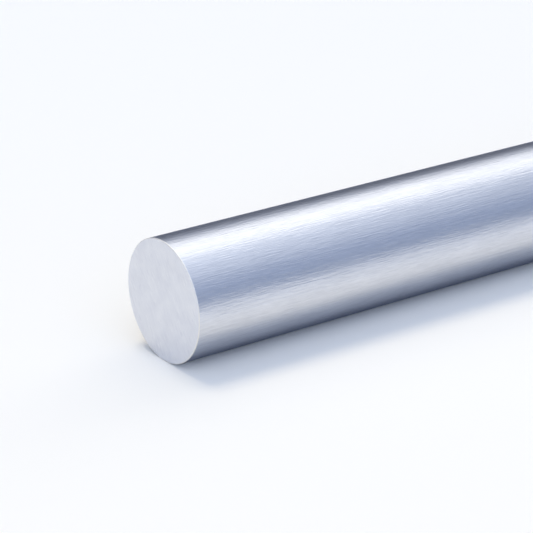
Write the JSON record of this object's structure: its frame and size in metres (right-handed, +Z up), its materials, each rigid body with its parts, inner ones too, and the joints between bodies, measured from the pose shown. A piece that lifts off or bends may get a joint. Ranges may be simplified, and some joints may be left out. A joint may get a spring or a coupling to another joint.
{
  "type": "round metal bar",
  "caption": "Solid round bar stock with a satin drawn surface and square sawn ends, for turning, milling or use as a shaft or pin.",
  "frame": {"origin": "centre of the near sawn face, on the bar's axis; the line where the bar rests is one radius, 25 mm, below it", "axes": "+X along the bar's axis from the near end to the far end, +Y across it, +Z up"},
  "size_m": [0.5, 0.05, 0.05],
  "materials": {
    "drawn_aluminium": "satin drawn surface with fine lengthwise lines, sawn faces paler and more matt"
  },
  "bodies": {
    "root": {"round_bar": "drawn_aluminium"}
  },
  "joints": []
}
